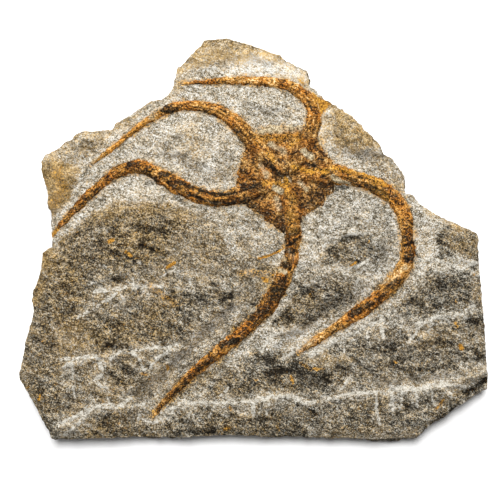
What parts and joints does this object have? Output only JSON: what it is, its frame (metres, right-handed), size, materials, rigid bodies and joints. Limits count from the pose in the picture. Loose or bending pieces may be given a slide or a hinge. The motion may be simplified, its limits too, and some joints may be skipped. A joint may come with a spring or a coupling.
{
  "type": "fossil brittle star on a stone slab",
  "caption": "Fossil brittle star with a small disc and long curling arms in low relief on the face of a broken sandstone slab.",
  "frame": {"origin": "on the flat back of the slab, under the middle of its outline", "axes": "+Z out of the face with the fossil, +Y from the long straight edge to the slab's peak, +X along the long edge"},
  "size_m": [0.15, 0.13, 0.0201],
  "materials": {
    "sandstone": "rough broken grey sandstone with tan weathering",
    "fossil_disc": "rough tan and rust iron mineral",
    "fossil_arm": "rough rust-orange iron mineral"
  },
  "bodies": {
    "root": {"stone_slab": "sandstone", "star_disc": "fossil_disc", "arm_top": "fossil_arm", "arm_upper_left": "fossil_arm", "arm_left": "fossil_arm", "arm_right": "fossil_arm", "arm_lower": "fossil_arm"}
  },
  "joints": []
}
